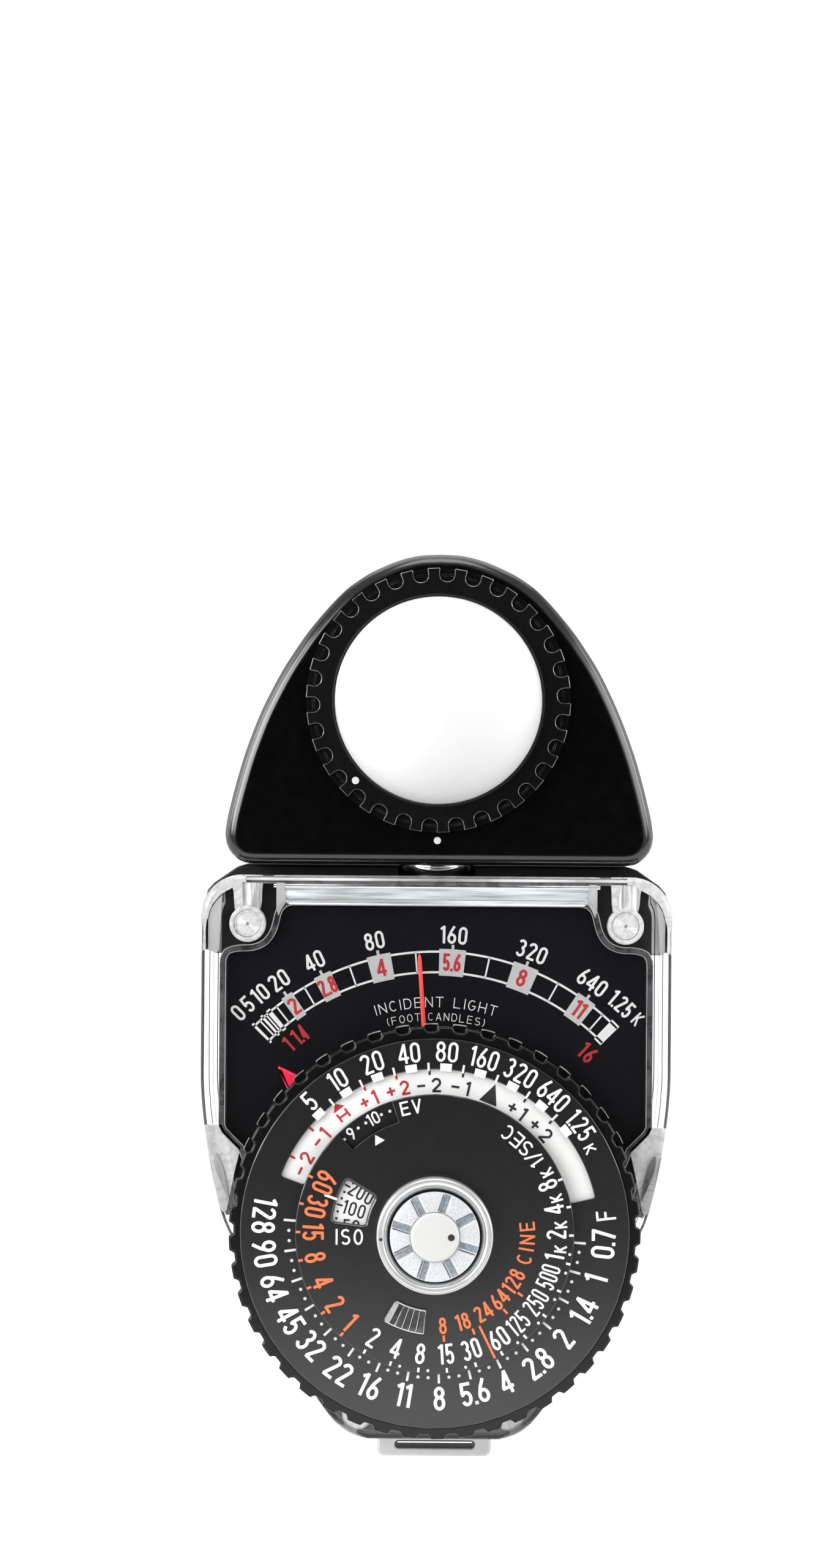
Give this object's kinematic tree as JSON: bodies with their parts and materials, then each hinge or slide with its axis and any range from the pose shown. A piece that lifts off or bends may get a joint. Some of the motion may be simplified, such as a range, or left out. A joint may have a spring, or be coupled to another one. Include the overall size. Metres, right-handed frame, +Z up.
{
  "type": "handheld light meter",
  "caption": "Handheld analogue incident light meter: swivelling head with a white dome, needle scale window, calculator dial, lock button and strap lug.",
  "frame": {"origin": "middle of the footprint in X and Y, on the lowest face, the underside of the strap lug", "axes": "+Z up along the meter towards the head, -Y is the front with the dial and dome, +X to the right seen from the front"},
  "size_m": [0.0584, 0.034, 0.1133],
  "materials": {
    "black_case": "fine satin moulded black",
    "black_gloss": "polished black",
    "clear_plastic": "clear polished acrylic",
    "scale_face": "satin black print plate",
    "dial_face": "semi-gloss dark grey enamel",
    "index_white": "matte white enamel",
    "diffuser_white": "translucent white moulding",
    "red_plastic": "glossy red",
    "chrome": "polished",
    "silver_metal": "fine grained satin",
    "steel": "satin",
    "brass": "turned",
    "iron": "dark plated",
    "copper_coil": "enamelled winding",
    "board": "green laminate",
    "cell": "dark violet cell",
    "lead": "insulated lead"
  },
  "bodies": {
    "case": {"rear_cover": "black_case", "mid_frame": "black_case", "clear_front_cover": "clear_plastic", "scale_plate": "scale_face", "strap_lug": "steel", "strap_lug_pin": "steel", "case_screw_top_left": "steel", "case_screw_top_right": "steel", "case_screw_bottom_left": "steel", "case_screw_bottom_right": "steel", "magnet_yoke": "iron", "core_magnet": "iron", "core_bracket": "brass", "front_bridge": "brass", "jewel_screw_front": "steel", "rear_bridge": "brass", "jewel_screw_rear": "steel", "hairspring": "brass", "brake_leaf": "steel", "circuit_board": "board", "trim_resistor": "black_case", "body_lead": "lead", "swivel_bearing": "brass", "wave_washer": "steel", "dial_hub": "brass", "bezel_ring": "chrome", "button_spring": "steel"},
    "head": {"head_front_shell": "black_gloss", "head_rear_shell": "black_gloss", "head_screw_left": "steel", "head_screw_right": "steel", "bayonet_socket": "black_case", "cell_mask": "black_case", "photocell": "cell", "cell_contact_ring": "brass", "cell_retainer": "black_case", "head_lead": "lead", "swivel_stem": "steel", "stem_collar": "chrome", "retaining_clip": "steel"},
    "diffuser": {"diffuser_ring": "black_case", "diffuser_dome": "diffuser_white"},
    "memory_pointer": {"memory_pointer": "red_plastic"},
    "exposure_dial": {"serrated_ring": "black_case", "outer_dial_plate": "dial_face"},
    "index_disc": {"index_disc": "index_white"},
    "shutter_dial": {"shutter_disc": "dial_face", "film_speed_tab": "clear_plastic"},
    "button_plunger": {"button_plunger": "steel"},
    "button_knob": {"button_knob": "silver_metal", "button_cap": "index_white"},
    "moving_coil": {"moving_coil": "copper_coil", "pivot_front": "steel", "pivot_rear": "steel", "needle": "red_plastic"},
    "zero_screw": {"zero_adjust_screw": "silver_metal"},
    "zero_arm": {"zero_adjust_arm": "brass"}
  },
  "joints": [
    {"name": "head_swivel", "type": "hinge", "parent": "case", "child": "head", "pos_m": [0, 0.0054, 0.0748], "axis": [0, 0, 1], "range_deg": [-90, 180]},
    {"name": "diffuser_twist", "type": "hinge", "parent": "head", "child": "diffuser", "pos_m": [0, -0.003, 0.0951], "axis": [0, -1, 0], "range_deg": [0, 46]},
    {"name": "memory_pointer_turn", "type": "hinge", "parent": "case", "child": "memory_pointer", "pos_m": [0, 0, 0.0294], "axis": [0, -1, 0], "range_deg": [-96, 8]},
    {"name": "exposure_dial_turn", "type": "hinge", "parent": "case", "child": "exposure_dial", "pos_m": [0, 0, 0.0294], "axis": [0, -1, 0], "continuous": true},
    {"name": "index_disc_turn", "type": "hinge", "parent": "case", "child": "index_disc", "pos_m": [0, 0, 0.0294], "axis": [0, -1, 0], "continuous": true},
    {"name": "film_speed_turn", "type": "hinge", "parent": "index_disc", "child": "shutter_dial", "pos_m": [0, 0, 0.0294], "axis": [0, -1, 0], "range_deg": [-83, 48]},
    {"name": "button_press", "type": "slide", "parent": "case", "child": "button_plunger", "axis": [0, 1, 0], "range_m": [0, 0.0011], "stiffness_N_per_m": 250, "springref_m": -0.002},
    {"name": "button_lock_turn", "type": "hinge", "parent": "button_plunger", "child": "button_knob", "pos_m": [0, 0, 0.0294], "axis": [0, -1, 0], "range_deg": [0, 90]},
    {"name": "needle_swing", "type": "hinge", "parent": "case", "child": "moving_coil", "pos_m": [0, 0, 0.032], "axis": [0, -1, 0], "range_deg": [-48.5, 41.5]},
    {"name": "zero_screw_turn", "type": "hinge", "parent": "case", "child": "zero_screw", "pos_m": [0, 0.0155, 0.0392], "axis": [0, -1, 0], "range_deg": [-25, 25]},
    {"name": "zero_arm_turn", "type": "hinge", "parent": "case", "child": "zero_arm", "pos_m": [0, 0, 0.032], "axis": [0, -1, 0], "range_deg": [-3, 3]}
  ],
  "couplings": [
    {"joint": "zero_arm_turn", "follows": "zero_screw_turn", "ratio": 0.0886}
  ]
}
